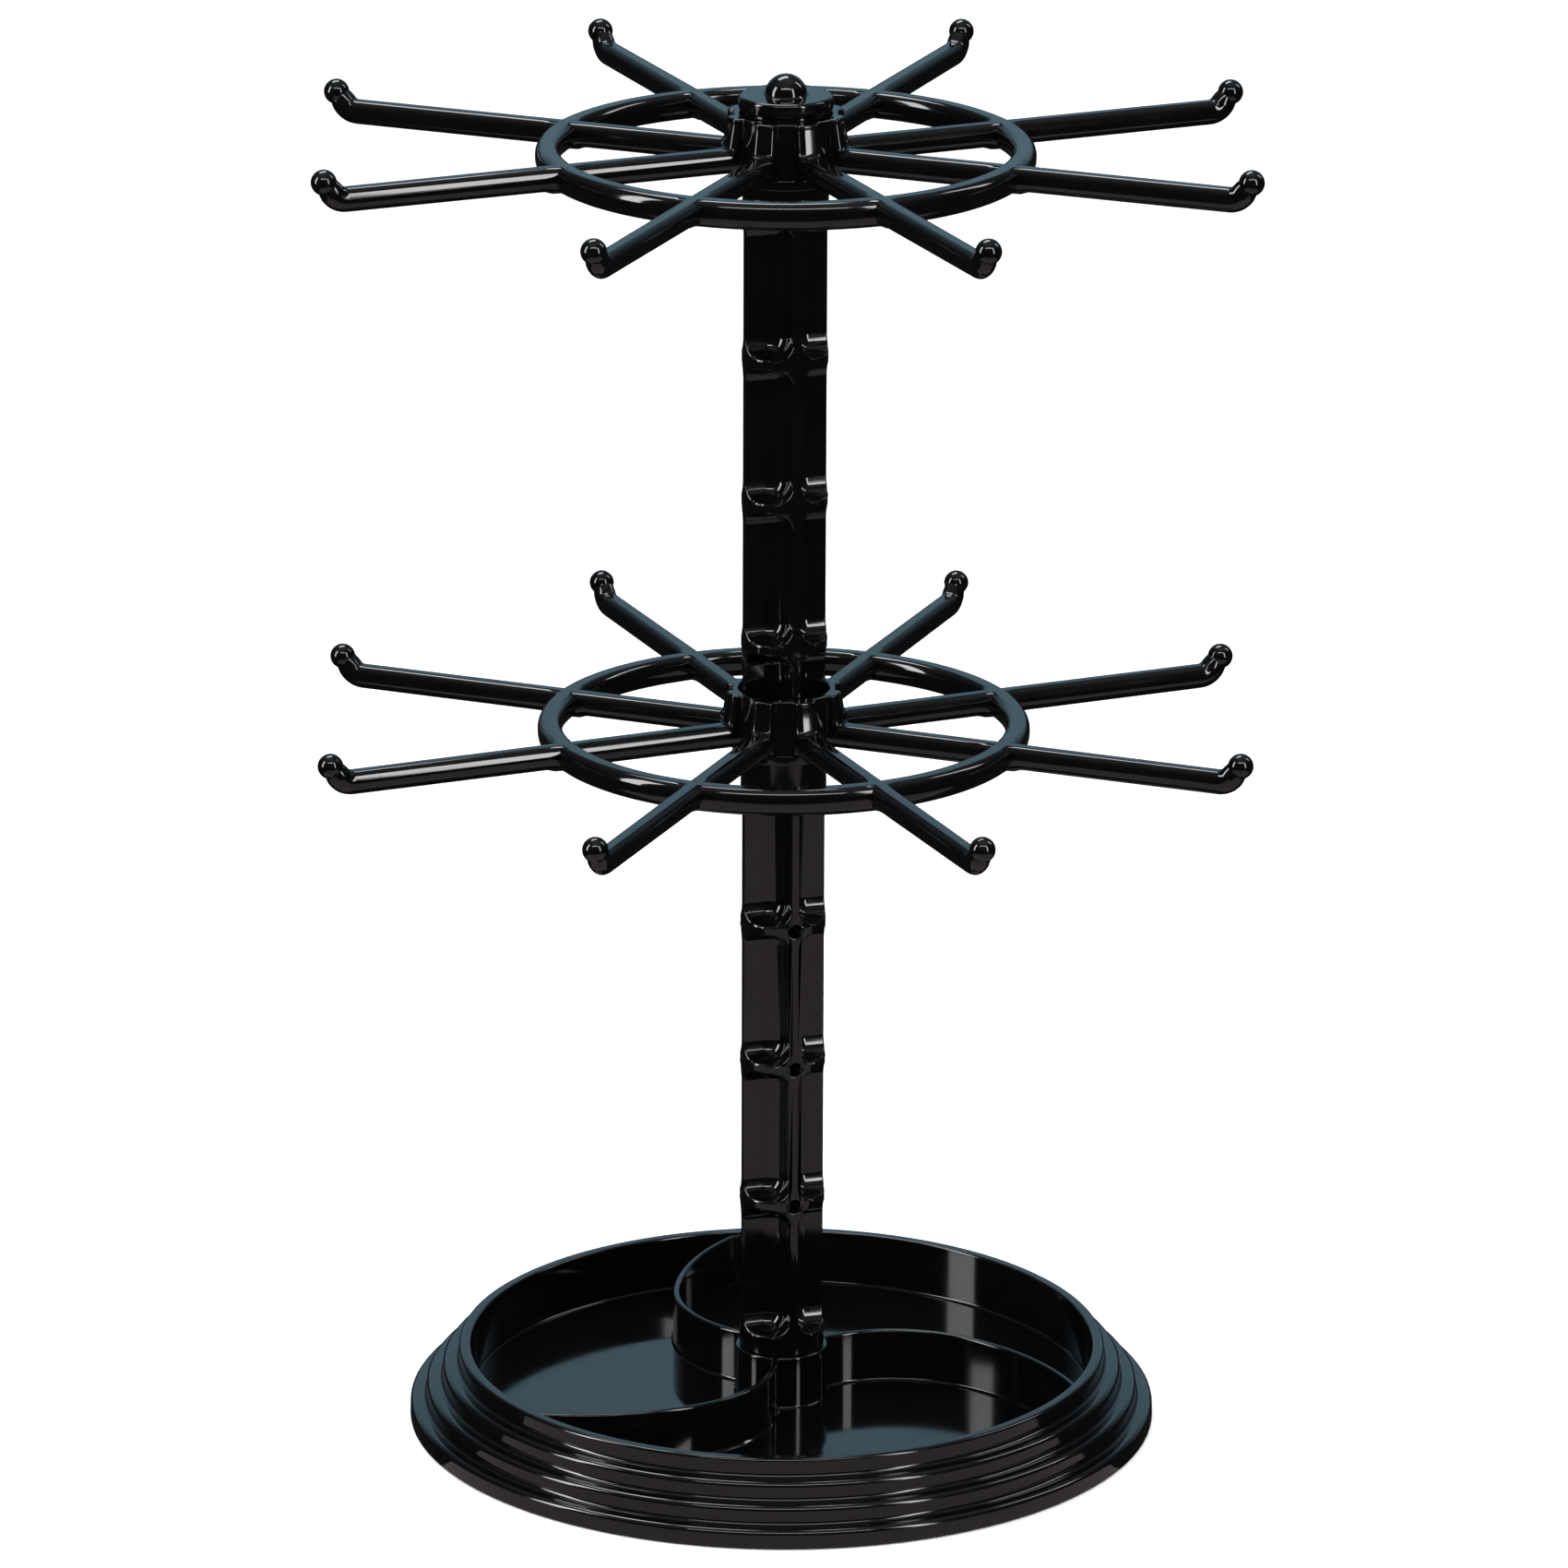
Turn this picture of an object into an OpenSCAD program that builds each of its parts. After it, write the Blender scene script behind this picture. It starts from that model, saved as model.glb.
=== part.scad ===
// Two-tier rotating display rack.
// A stepped tray base carries a finned column in two sections. Two wheels of
// hooked arms turn freely on the column, each on its own seat flange.
// Millimetres, +Z up, origin at the centre of the surface the base stands on.

/* [Base tray] */
// Diameter of the base at the foot
base_d = 190; // [186:1:194]
// Height of the rim above the surface it stands on
base_h = 18.9; // [17.5:0.1:20.5]
// Number of steps in the skirt, rim included
step_count = 4; // [4:1:4]
// Radial depth of one step
step_run = 4.15; // [3.9:0.05:4.4]
// Width of the flat rim
rim_w = 3.2; // [2.8:0.1:3.6]
// Wall thickness of the base moulding
wall = 2.2; // [1.8:0.1:2.3]
// Height of the tray floor's top face
floor_z = 4.7; // [4.4:0.1:5]

/* [Dividers] */
// Number of swirl dividers in the tray
divider_count = 3; // [2:1:4]
// Thickness of a divider
divider_t = 1.8; // [1.4:0.1:2.4]
// Height of the dividers' top edges above the standing surface
divider_z = 18.2; // [12:0.1:18.8]
// Angle at which the first divider leaves the socket
divider_start = 20; // [10:1:30]
// Radius of the tight inner bend
inner_bend_r = 34.5; // [33:0.5:36]
// Angle that the inner bend turns through
inner_sweep = 68; // [66:1:70]
// Radius of the wide outer bend
outer_bend_r = 67; // [64:0.5:70]

/* [Column] */
// Radius of the column's node discs
column_r = 10.8; // [10.4:0.1:11]
// Distance between two node discs
node_pitch = 36.8; // [34:0.1:38]
// Thickness of a node disc
node_t = 2.4; // [2:0.1:3]
// Thickness of a fin at its edge
fin_t = 2.2; // [1.8:0.1:2.6]
// Radius of the fillet between two fins
fin_fillet = 4; // [3:0.1:4.4]
// Radius of the corner where a fin runs into a node disc
corner_r = 5; // [3.5:0.1:6]
// Direction of the first fin, seen from above
fin_turn = -72; // [-90:1:90]
// Radius of the cross holes at the lower section's nodes
cross_hole_r = 1.7; // [1:0.1:2]

/* [Wheels] */
// Number of hooked arms on a wheel
hook_count = 8; // [6:1:8]
// Direction of the first arm at rest, seen from above
wheel_turn = 23.4; // [0:0.1:45]
// Height of the middle wheel's underside above the standing surface
middle_z = 179.7; // [177:0.1:182]
// Height of the top wheel above the middle wheel
wheel_gap = 147.7; // [146:0.1:149]
// Height of a hub
hub_h = 14; // [12:0.1:14.4]
// Outer radius of a hub between its arms
hub_r = 13; // [12.6:0.1:13.6]
// Width of an arm
arm_w = 5.8; // [5:0.1:6.4]
// Height of an arm
arm_h = 6.2; // [5.8:0.1:6.6]
// Outer radius of the ring that ties the arms together
ring_r = 61.7; // [50:0.1:75]
// Radial width of the ring
ring_w = 6.2; // [5:0.1:7]
// Distance from the axis to the centre of an arm's ball end
ball_reach = 121.1; // [110:0.1:130]
// Radius of a ball end
ball_r = 3.2; // [3:0.1:3.6]
// Angle at which the hooks rise
hook_rise = 57; // [45:1:65]

/* [Cap] */
// Radius of the cap's disc
cap_r = 11.7; // [11:0.1:12.2]
// Thickness of the cap's disc
cap_t = 3.6; // [3:0.1:4.5]
// Radius of the dome knob
dome_r = 5.25; // [4:0.05:6]

/* [Hidden] */
$fn = 72;
PLASTIC = [0.07, 0.075, 0.08];
STEEL = [0.75, 0.76, 0.78];

slip = 0.05;                          // radial gap of a push fit, and a small lap
turn_gap = 0.2;                       // gap under a hub
hub_play = 0.6;                       // radial gap between hub and column
over = 1;                             // how far a cutter runs past a face

base_r = base_d / 2;
rise = base_h / step_count;
tray_r = base_r - (step_count - 1) * step_run - rim_w;

socket_r = 11.8;                      // the tray's central socket
stem_r = 8;                           // the column's stem in the socket
socket_web = 2.2;                     // the socket's floor
web_z = floor_z + 1.1;                // underside of the socket's floor

node_z0 = divider_z + 3.7;            // height of the foot's own node
fin_r = column_r - 0.1;
foot_h = 5.2;                         // the lower section's foot disc
lower_nodes = 4;
upper_nodes = 8;
top_z = middle_z + wheel_gap;

flange_r = 12.9;                      // seat flange under each hub
flange_t = 2.8;
joint_r = 5;                          // spigot between the sections
joint_h = 10;
joint_z = middle_z - turn_gap;        // where the two sections meet
foot_disc_t = 2.4;
plug_r = 4;                           // cap plug
plug_h = 9;
cap_z = top_z + hub_h + 0.9;          // underside of the cap's disc

bore_r = column_r + hub_play;
root_r = 16.5;                        // where an arm leaves its hub
gusset_top = 1.9;                     // how far a gusset stands out at the rim
gusset_foot = 2.9;                    // and at the arm
ring_drop = 0.8;                      // how far the ring hangs below the arms
hook_r = arm_w / 2 - 0.1;             // a hook is round and a little slimmer
bend_r = 4.6;                         // centreline radius of a hook's bend
hook_len = 3.4;                       // straight part above the bend
bend_x = ball_reach - bend_r * sin(hook_rise) - hook_len * cos(hook_rise);

screw_r = 2;
screw_len = 13;
head_r = 3.9;
head_h = 2;
washer_r = 5.2;
washer_t = 0.8;
washer_z = web_z - washer_t;

ARC = 8;                              // chords in a quarter of a small arc

ARM_NAMES = [for (i = [1 : hook_count]) str("arm_", i)];

// A point turned about the origin.
function turned(p, a) = [p.x * cos(a) - p.y * sin(a), p.x * sin(a) + p.y * cos(a)];

// Points of an arc about c, from angle a to angle b.
function arc(c, r, a, b, n = ARC) = [
    for (i = [0 : n]) let (t = a + (b - a) * i / n) c + r * [cos(t), sin(t)]
];

// A right-hand bend: [x, y, heading] from point p on heading h.
function bend(p, h, r, sweep, n) = [
    for (i = [0 : n]) let (a = h - sweep * i / n)
        [p.x + r * (sin(h) - sin(a)), p.y + r * (cos(a) - cos(h)), a]
];

// Inner face of the hollow skirt under step k.
function under_r(k) = k == step_count - 1 ? tray_r + wall : base_r - k * step_run - wall;

// Outline of an arm or of the ring: flat on top, round underneath.
function beam(w, h, e = 0.5) = concat(
    [[w / 2 - e, h], [w / 2, h - e]],
    arc([0, w / 2], w / 2, 0, -180, 2 * ARC),
    [[-w / 2, h - e], [-w / 2 + e, h]]
);

// One quarter of the finned section, from fin to fin round the fillet.
function fin_quarter(reach) = concat(
    [[reach, fin_t / 2]],
    arc([1, 1] * (fin_t / 2 + fin_fillet), fin_fillet, 270, 180),
    [[fin_t / 2, reach]]
);

// One quarter of the junction where a fin crosses a node disc.
function junction_quarter(sx, sy) = [
    for (p = arc([fin_t / 2 + corner_r, node_t / 2 + corner_r], corner_r, 180, 270))
        [sx * p.x, sy * p.y]
];

function backwards(v) = [for (i = [len(v) - 1 : -1 : 0]) v[i]];

// Base: one moulding, held as skirt, floor, socket and dividers.
module tray_skirt() {
    color(PLASTIC)
    rotate_extrude($fn = 180)
        polygon(concat(
            [for (k = [0 : step_count - 1], z = [k, k + 1])
                [base_r - k * step_run, z * rise]],
            [[tray_r, base_h], [tray_r, floor_z - wall], [tray_r + wall, floor_z - wall]],
            [for (k = [step_count - 1 : -1 : 1], j = [k, k - 1])
                [under_r(j), k * rise - wall]],
            [[base_r - wall, 0]]
        ));
}

module tray_floor() {
    color(PLASTIC)
    translate([0, 0, floor_z - wall])
    difference() {
        cylinder(r = tray_r, h = wall);
        translate([0, 0, -over]) cylinder(r = stem_r, h = wall + 2 * over);
    }
}

module tray_socket() {
    color(PLASTIC)
    difference() {
        translate([0, 0, floor_z]) cylinder(r = socket_r, h = divider_z - floor_z);
        translate([0, 0, web_z + socket_web]) cylinder(r = stem_r + slip, h = divider_z);
        translate([0, 0, web_z - socket_r]) cylinder(r = stem_r, h = socket_r);
        translate([0, 0, floor_z]) cylinder(r = screw_r + slip, h = divider_z);
    }
}

module tray_divider(i) {
    start = turned([socket_r - 2, 0], divider_start);
    inner = bend(start, divider_start + 15, inner_bend_r, inner_sweep, 2 * ARC);
    last = inner[len(inner) - 1];
    outer = bend(last, last.z, outer_bend_r, 44, 2 * ARC);
    path = concat(inner, [for (j = [1 : len(outer) - 1]) outer[j]]);
    left = [for (q = path) [q.x, q.y] + divider_t / 2 * [-sin(q.z), cos(q.z)]];
    right = [for (q = path) [q.x, q.y] - divider_t / 2 * [-sin(q.z), cos(q.z)]];
    color(PLASTIC)
    rotate(i * 360 / divider_count)
    translate([0, 0, floor_z])
    difference() {
        intersection() {
            linear_extrude(divider_z - floor_z) polygon(concat(left, backwards(right)));
            cylinder(r = tray_r, h = base_h);
        }
        translate([0, 0, -over]) cylinder(r = socket_r, h = base_h);
    }
}

// Four fins from z0 to z1, flared into each node disc of the list.
module finned(z0, z1, nodes) {
    intersection() {
        union() {
            translate([0, 0, z0])
            linear_extrude(z1 - z0)
                polygon([for (q = [0 : 3], p = fin_quarter(column_r + over)) turned(p, 90 * q)]);
            for (n = nodes, q = [0 : 3])
                translate([0, 0, node_z0 + n * node_pitch])
                rotate(90 * q)
                rotate([90, 0, 90])
                linear_extrude(column_r + over)
                    polygon(concat(
                        junction_quarter(1, 1), backwards(junction_quarter(1, -1)),
                        junction_quarter(-1, -1), backwards(junction_quarter(-1, 1))
                    ));
        }
        translate([0, 0, z0]) cylinder(r = fin_r, h = z1 - z0);
    }
    for (n = nodes)
        translate([0, 0, max(z0, node_z0 + n * node_pitch - node_t / 2)])
            cylinder(r = column_r, h = node_t);
}

// Solid neck with the flange that a hub sits on.
module seat(z0, z1) {
    translate([0, 0, z0]) cylinder(r = fin_r, h = z1 - z0);
    translate([0, 0, z1 - flange_t]) cylinder(r = flange_r, h = flange_t);
}

module column_lower() {
    neck_z = node_z0 + lower_nodes * node_pitch;
    stem_z = web_z + socket_web;
    color(PLASTIC)
    rotate(fin_turn)
    difference() {
        union() {
            translate([0, 0, stem_z]) cylinder(r = stem_r, h = divider_z - stem_z);
            translate([0, 0, divider_z]) cylinder(r = column_r, h = foot_h);
            finned(divider_z, neck_z, [0 : lower_nodes - 1]);
            translate([0, 0, neck_z - node_t / 2]) cylinder(r = column_r, h = node_t);
            seat(neck_z, joint_z);
        }
        translate([0, 0, joint_z - joint_h - 0.5])
            cylinder(r = joint_r + slip, h = joint_h + over);
        translate([0, 0, stem_z - over])
            cylinder(r = screw_r + slip, h = screw_len);
        for (n = [1 : lower_nodes - 1], q = [0, 180])
            translate([0, 0, node_z0 + n * node_pitch])
            rotate([0, 90, q])
            translate([0, 0, fin_r - 6])
                cylinder(r = cross_hole_r, h = 6 + over, $fn = 32);
    }
}

module column_upper() {
    neck_z = node_z0 + upper_nodes * node_pitch;
    color(PLASTIC)
    rotate(fin_turn)
    difference() {
        union() {
            translate([0, 0, joint_z - joint_h]) cylinder(r = joint_r, h = joint_h);
            translate([0, 0, joint_z]) cylinder(r = column_r, h = foot_disc_t);
            finned(joint_z, neck_z, [lower_nodes + 1 : upper_nodes - 1]);
            translate([0, 0, neck_z - node_t / 2]) cylinder(r = column_r, h = node_t);
            seat(neck_z, top_z - turn_gap);
            translate([0, 0, top_z - turn_gap - flange_t])
                cylinder(r = column_r, h = cap_z - top_z + turn_gap + flange_t);
        }
        translate([0, 0, cap_z - plug_h - 0.5])
            cylinder(r = plug_r + slip, h = plug_h + over);
    }
}

module top_cap() {
    color(PLASTIC)
    translate([0, 0, cap_z]) {
        rotate_extrude()
            polygon(concat(
                [[0, 0]],
                arc([cap_r - 0.6, 0.6], 0.6, -90, 0),
                arc([cap_r - 0.9, cap_t - 0.9], 0.9, 0, 90),
                [[0, cap_t]]
            ));
        translate([0, 0, cap_t - 0.1]) sphere(r = dome_r);
        translate([0, 0, -plug_h]) cylinder(r = plug_r, h = plug_h);
    }
}

module base_screw() {
    color(STEEL)
    difference() {
        translate([0, 0, washer_z - head_h])
        rotate_extrude()
            polygon(concat(
                arc([0, head_h / 2], head_r, -12, 12),
                [[screw_r, head_h], [screw_r, screw_len], [0.6, screw_len + 1.6], [0, screw_len + 1.6]],
                [[0, 0]]
            ));
        for (q = [0, 90])
            rotate(q)
            translate([-1.9, -0.4, washer_z - head_h - over])
                cube([3.8, 0.8, 1 + over]);
    }
}

module base_washer() {
    color(STEEL)
    translate([0, 0, washer_z])
    difference() {
        cylinder(r = washer_r, h = washer_t);
        translate([0, 0, -over]) cylinder(r = screw_r + 0.2, h = washer_t + 2 * over);
    }
}

// Wheel: one moulding, held as hub, ring and arms.
module wheel_at(z) {
    translate([0, 0, z]) rotate(wheel_turn) children();
}

module wheel_hub() {
    color(PLASTIC) {
        difference() {
            cylinder(r = hub_r, h = hub_h);
            translate([0, 0, -over]) cylinder(r = bore_r, h = hub_h + 2 * over);
        }
        for (i = [0 : hook_count - 1])
            rotate(i * 360 / hook_count)
            translate([0, arm_w / 2, 0])
            rotate([90, 0, 0])
            linear_extrude(arm_w)
                polygon([
                    [hub_r - 0.6, 0], [root_r, 0], [root_r, arm_h],
                    [hub_r + gusset_foot, arm_h], [hub_r + gusset_top, hub_h], [hub_r - 0.6, hub_h]
                ]);
    }
}

module arm_bar(x0, x1, h = arm_h) {
    translate([x0, 0, 0])
    rotate([90, 0, 90])
    linear_extrude(x1 - x0)
        polygon(beam(arm_w, h));
}

module wheel_ring() {
    ring_h = arm_h + ring_drop;
    color(PLASTIC)
    difference() {
        rotate_extrude($fn = 180)
        translate([ring_r - ring_w / 2, -ring_drop])
            polygon(beam(ring_w, ring_h));
        for (i = [0 : hook_count - 1])
            rotate(i * 360 / hook_count)
                arm_bar(ring_r - ring_w - over, ring_r + over, arm_h + over);
    }
}

module wheel_arm(i) {
    mid = arm_w / 2;
    color(PLASTIC)
    rotate((i - 1) * 360 / hook_count) {
        arm_bar(root_r, bend_x);
        translate([bend_x, 0, mid + bend_r])
        rotate([90, 0, 0])
        rotate(-90)
        rotate_extrude(angle = hook_rise)
        translate([bend_r, 0])
            circle(r = hook_r);
        translate([bend_x + bend_r * sin(hook_rise), 0, mid + bend_r * (1 - cos(hook_rise))])
        rotate([0, 90 - hook_rise, 0]) {
            translate([0, 0, -slip]) cylinder(r = hook_r - slip, h = hook_len + slip);
            translate([0, 0, hook_len]) sphere(r = ball_r);
        }
    }
}

tray_skirt();
tray_floor();
tray_socket();
for (i = [1 : divider_count])
    tray_divider(i - 1);
column_lower();
column_upper();
top_cap();
base_screw();
base_washer();
wheel_at(middle_z) wheel_hub();  // middle_hub
wheel_at(middle_z) wheel_ring();  // middle_ring
for (i = [1 : hook_count])
    wheel_at(middle_z) wheel_arm(i);
wheel_at(top_z) wheel_hub();  // top_hub
wheel_at(top_z) wheel_ring();  // top_ring
for (i = [1 : hook_count])
    wheel_at(top_z) wheel_arm(i);
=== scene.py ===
"""Two-tier rotating display rack, moulded in gloss black ABS.

A stepped tray base carries a finned column in two sections. Two wheels of
hooked arms turn on the column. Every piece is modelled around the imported
frame, in metres, and rides on the body that it belongs to.
"""

import logging
import math
from contextlib import contextmanager
from dataclasses import dataclass, field
from enum import Enum
from typing import Callable, Iterator, Sequence

import bmesh
import bpy
from mathutils import Matrix, Vector


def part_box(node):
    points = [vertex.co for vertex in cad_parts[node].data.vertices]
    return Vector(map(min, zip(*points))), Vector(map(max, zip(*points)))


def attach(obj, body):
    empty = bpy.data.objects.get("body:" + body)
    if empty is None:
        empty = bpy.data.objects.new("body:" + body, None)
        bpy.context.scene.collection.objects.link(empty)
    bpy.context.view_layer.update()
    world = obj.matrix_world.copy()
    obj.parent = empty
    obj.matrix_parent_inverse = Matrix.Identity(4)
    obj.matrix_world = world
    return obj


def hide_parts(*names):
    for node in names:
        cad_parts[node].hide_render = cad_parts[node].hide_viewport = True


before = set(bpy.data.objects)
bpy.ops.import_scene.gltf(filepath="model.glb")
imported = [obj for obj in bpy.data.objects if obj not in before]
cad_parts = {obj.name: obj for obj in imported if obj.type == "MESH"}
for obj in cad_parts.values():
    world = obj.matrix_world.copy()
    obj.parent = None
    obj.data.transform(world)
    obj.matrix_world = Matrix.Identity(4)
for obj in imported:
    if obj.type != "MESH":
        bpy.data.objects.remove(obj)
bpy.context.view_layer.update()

LOG = logging.getLogger("display_rack")
MM = 0.001
SEAM = 2e-6
NICK = 4e-6
SLIVER = 6e-5
ORIGIN = (0.0, 0.0, 0.0)
UP = (0.0, 0.0, 1.0)

Point = tuple[float, float]
Corner = tuple[float, float, float]
Colour = tuple[float, float, float]
Sky = tuple[tuple[float, Colour], ...]


class Part(Enum):
    """What an edit-mode selection is made of."""

    VERT = "VERT"
    EDGE = "EDGE"
    FACE = "FACE"


class Body(Enum):
    """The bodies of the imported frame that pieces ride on."""

    STAND = "stand"
    MIDDLE = "middle_wheel"
    TOP = "top_wheel"


class Slot(Enum):
    """The record's material slots."""

    PLASTIC = "black_abs"
    STEEL = "zinc_steel"


# ---------------------------------------------------------------- workbench


def clear_selection() -> None:
    """Leaves object mode with nothing selected."""
    if bpy.context.object and bpy.context.object.mode != "OBJECT":
        bpy.ops.object.mode_set(mode="OBJECT")
    bpy.ops.object.select_all(action="DESELECT")


def make_active(piece: bpy.types.Object) -> None:
    """Selects one object alone and makes it the active one."""
    clear_selection()
    piece.select_set(True)
    bpy.context.view_layer.objects.active = piece


@contextmanager
def editing(piece: bpy.types.Object) -> Iterator[None]:
    """Holds an object in edit mode, with nothing selected at the start.

    Args:
        piece: The mesh object to shape.
    """
    make_active(piece)
    bpy.ops.object.mode_set(mode="EDIT")
    bpy.ops.mesh.select_mode(type="VERT")
    bpy.ops.mesh.select_all(action="DESELECT")
    yield
    bpy.ops.object.mode_set(mode="OBJECT")


def pick(piece: bpy.types.Object, part: Part, test: Callable) -> int:
    """Selects the parts of the edited mesh that pass a test, and no others.

    Args:
        piece: The object in edit mode.
        part: Vertices, edges or faces.
        test: Says yes or no for each one.

    Returns:
        How many were selected.
    """
    bpy.ops.mesh.select_mode(type=part.value)
    bpy.ops.mesh.select_all(action="DESELECT")
    mesh = bmesh.from_edit_mesh(piece.data)
    items = {Part.VERT: mesh.verts, Part.EDGE: mesh.edges, Part.FACE: mesh.faces}[part]
    chosen = [item for item in items if test(item)]
    for item in chosen:
        item.select_set(True)
    mesh.select_flush_mode()
    bmesh.update_edit_mesh(piece.data)
    return len(chosen)


def close_seams() -> None:
    """Merges doubled vertices of the whole edited mesh and turns its faces outwards."""
    bpy.ops.mesh.select_mode(type="VERT")
    bpy.ops.mesh.select_all(action="SELECT")
    bpy.ops.mesh.remove_doubles(threshold=SEAM)
    bpy.ops.mesh.normals_make_consistent(inside=False)


def apply_modifiers(piece: bpy.types.Object) -> None:
    """Applies every modifier of an object, in order."""
    make_active(piece)
    for modifier in list(piece.modifiers):
        bpy.ops.object.modifier_apply(modifier=modifier.name)


def settle(piece: bpy.types.Object) -> None:
    """Bakes an object's place into its mesh, so that it sits at the origin."""
    make_active(piece)
    bpy.ops.object.transform_apply(location=True, rotation=True, scale=True)


def combine(target: bpy.types.Object, tool: bpy.types.Object, operation: str) -> None:
    """Joins, cuts or trims one solid with another and throws the tool away.

    Args:
        target: The solid that stays.
        tool: The solid that is used up.
        operation: UNION, DIFFERENCE or INTERSECT.
    """
    modifier = target.modifiers.new("combine", "BOOLEAN")
    modifier.operation = operation
    modifier.solver = "EXACT"
    modifier.object = tool
    apply_modifiers(target)
    bpy.data.objects.remove(tool)


def around(count: int) -> list[Matrix]:
    """Evenly spaced turns about the column's axis, starting with none."""
    return [Matrix.Rotation(math.tau * index / count, 4, "Z") for index in range(count)]


def extrude_by(offset: Sequence[float]) -> None:
    """Extrudes the selected faces by an offset, in metres."""
    bpy.ops.mesh.extrude_region_move(TRANSFORM_OT_translate={"value": tuple(offset)})


def axis_distance(spot: Vector) -> float:
    """How far a place is from the column's axis, in millimetres."""
    return math.hypot(spot.x, spot.y) / MM


def copies(piece: bpy.types.Object, places: Sequence[Matrix]) -> bpy.types.Object:
    """Copies a shape to several places and joins the copies into one object.

    Args:
        piece: The shape, modelled once. It is used up.
        places: Where each copy goes.

    Returns:
        One object that holds all the copies.
    """
    made = []
    for place in places:
        make_active(piece)
        bpy.ops.object.duplicate()
        copy = bpy.context.object
        copy.matrix_world = place
        settle(copy)
        made.append(copy)
    bpy.data.objects.remove(piece)
    clear_selection()
    for copy in made:
        copy.select_set(True)
    bpy.context.view_layer.objects.active = made[0]
    if len(made) > 1:
        bpy.ops.object.join()
    return made[0]


def smooth(piece: bpy.types.Object, angle: float = 32.0) -> None:
    """Shades a piece smooth up to an angle, with its flats kept flat.

    Args:
        piece: The finished mesh.
        angle: Edges sharper than this many degrees stay crisp.
    """
    make_active(piece)
    bpy.ops.object.shade_smooth_by_angle(angle=math.radians(angle))
    modifier = piece.modifiers.new("flats", "WEIGHTED_NORMAL")
    modifier.keep_sharp = True
    modifier.weight = 60
    apply_modifiers(piece)


def rounded(corners: Sequence[Corner], steps: int = 4) -> list[Point]:
    """Rounds the corners of a closed outline.

    Args:
        corners: Each corner's two coordinates and its radius, in millimetres.
        steps: Chords in each rounding.

    Returns:
        The outline's points, in metres.
    """
    points: list[Point] = []
    count = len(corners)
    for index, (x, y, radius) in enumerate(corners):
        here = Vector((x, y))
        back = Vector(corners[index - 1][:2]) - here
        ahead = Vector(corners[(index + 1) % count][:2]) - here
        if radius <= 0 or back.length < 1e-9 or ahead.length < 1e-9:
            points.append((x * MM, y * MM))
            continue
        half = back.angle(ahead) / 2
        reach = min(radius / math.tan(half), 0.48 * back.length, 0.48 * ahead.length)
        radius = reach * math.tan(half)
        back.normalize()
        ahead.normalize()
        middle = here + (back + ahead).normalized() * radius / math.sin(half)
        first = here + back * reach - middle
        last = here + ahead * reach - middle
        sweep = first.angle(last)
        turn = math.copysign(1.0, first.x * last.y - first.y * last.x)
        for step in range(steps + 1):
            angle = turn * sweep * step / steps
            spoke = Vector((
                first.x * math.cos(angle) - first.y * math.sin(angle),
                first.x * math.sin(angle) + first.y * math.cos(angle),
            ))
            points.append(((middle + spoke).x * MM, (middle + spoke).y * MM))
    return points


def trace(name: str, path: Sequence[Vector], closed: bool = True) -> bpy.types.Object:
    """Draws a line by extruding one point along a path.

    Args:
        name: The new object's name.
        path: The points to pass through, in metres.
        closed: Whether the line comes back to its start.

    Returns:
        The new object.
    """
    clear_selection()
    bpy.ops.mesh.primitive_plane_add(size=MM, location=path[0])
    piece = bpy.context.object
    piece.name = name
    settle(piece)
    with editing(piece):
        bpy.ops.mesh.select_all(action="SELECT")
        bpy.ops.mesh.merge(type="CENTER")
        for here, there in zip(path, path[1:]):
            bpy.ops.mesh.extrude_vertices_move(
                TRANSFORM_OT_translate={"value": tuple(there - here)}
            )
        if closed:
            ends = (path[0], path[-1])
            pick(piece, Part.VERT, lambda v: any((v.co - end).length < 1e-7 for end in ends))
            bpy.ops.mesh.edge_face_add()
    return piece


def swing(steps: int, angle: float, centre: Vector, axis: Vector) -> None:
    """Spins the selection about an axis, anticlockwise seen from the axis's tip.

    Args:
        steps: Segments in the swing.
        angle: How far it turns, in radians.
        centre: A point on the axis.
        axis: The axis's direction.
    """
    bpy.ops.mesh.spin(steps=steps, angle=-angle, center=centre, axis=axis)


def turned(name: str, profile: Sequence[Point], steps: int, closed: bool = True) -> bpy.types.Object:
    """Spins a profile about the column's axis into a closed solid.

    Args:
        name: The new object's name.
        profile: Radius and height of each point, in metres.
        steps: Segments round the axis.
        closed: Whether the profile is a loop. An open one starts and ends on the axis.

    Returns:
        The new solid.
    """
    piece = trace(name, [Vector((r, 0.0, z)) for r, z in profile], closed)
    with editing(piece):
        bpy.ops.mesh.select_all(action="SELECT")
        swing(steps, math.tau, ORIGIN, UP)
        close_seams()
    return piece


# ----------------------------------------------------------------- finishes


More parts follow.
